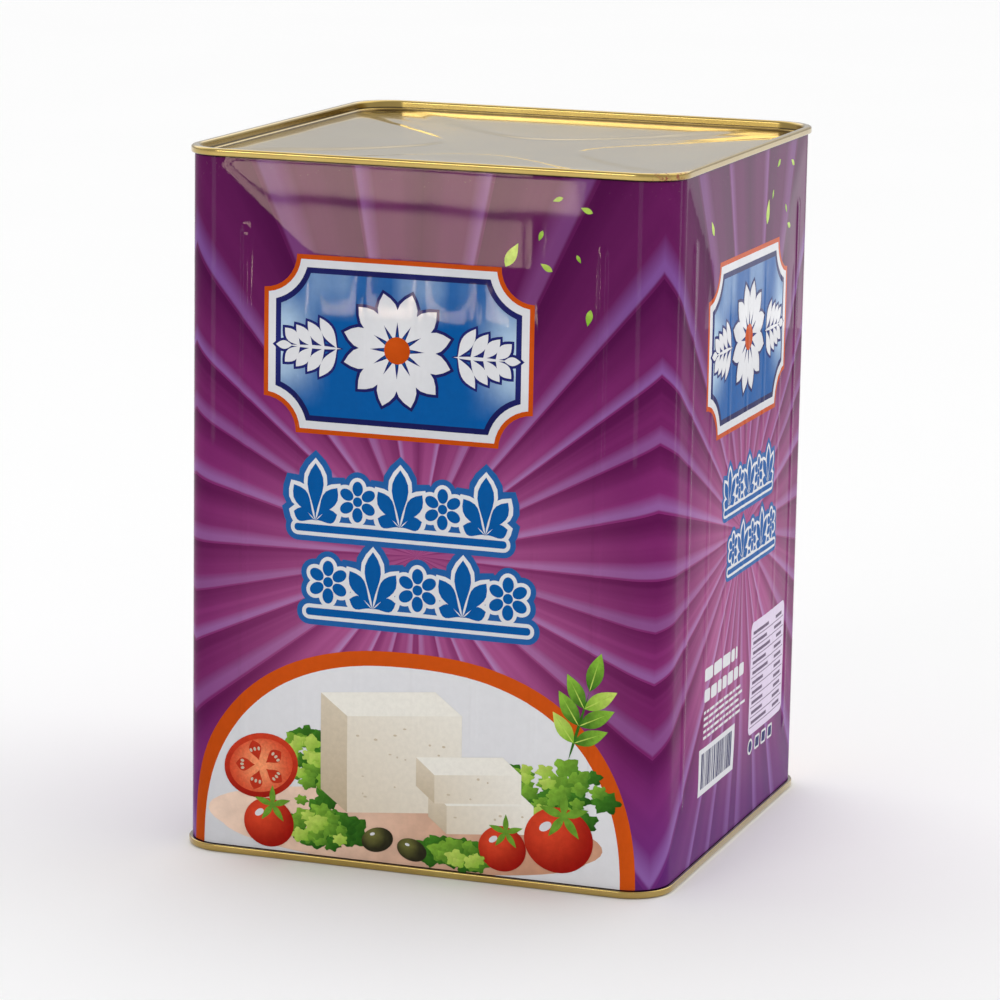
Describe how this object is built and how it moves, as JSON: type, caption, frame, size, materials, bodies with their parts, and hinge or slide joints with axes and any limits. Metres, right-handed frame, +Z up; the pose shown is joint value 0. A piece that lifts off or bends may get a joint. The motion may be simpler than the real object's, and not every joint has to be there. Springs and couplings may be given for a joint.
{
  "type": "cheese tin",
  "caption": "Tall square lithographed tinplate tin of white cheese in brine, shut, with gold-lacquered double seams and a sunk embossed lid.",
  "frame": {"origin": "middle of the square footprint, on the surface that the tin stands on", "axes": "+Z up along the tin's height, -Y out of the front wall that carries the picture, +X out of the wall with the table"},
  "size_m": [0.2386, 0.2386, 0.33],
  "materials": {
    "printed_tinplate": "glossy varnished litho print in plum and purple rays with blue, white, orange, cream, red and green fields on tinplate",
    "gold_lacquer": "clear gold lacquer over bright tinplate, metallic and glossy"
  },
  "bodies": {
    "root": {"tin_body": "printed_tinplate", "top_end": "gold_lacquer", "bottom_end": "gold_lacquer"}
  },
  "joints": []
}
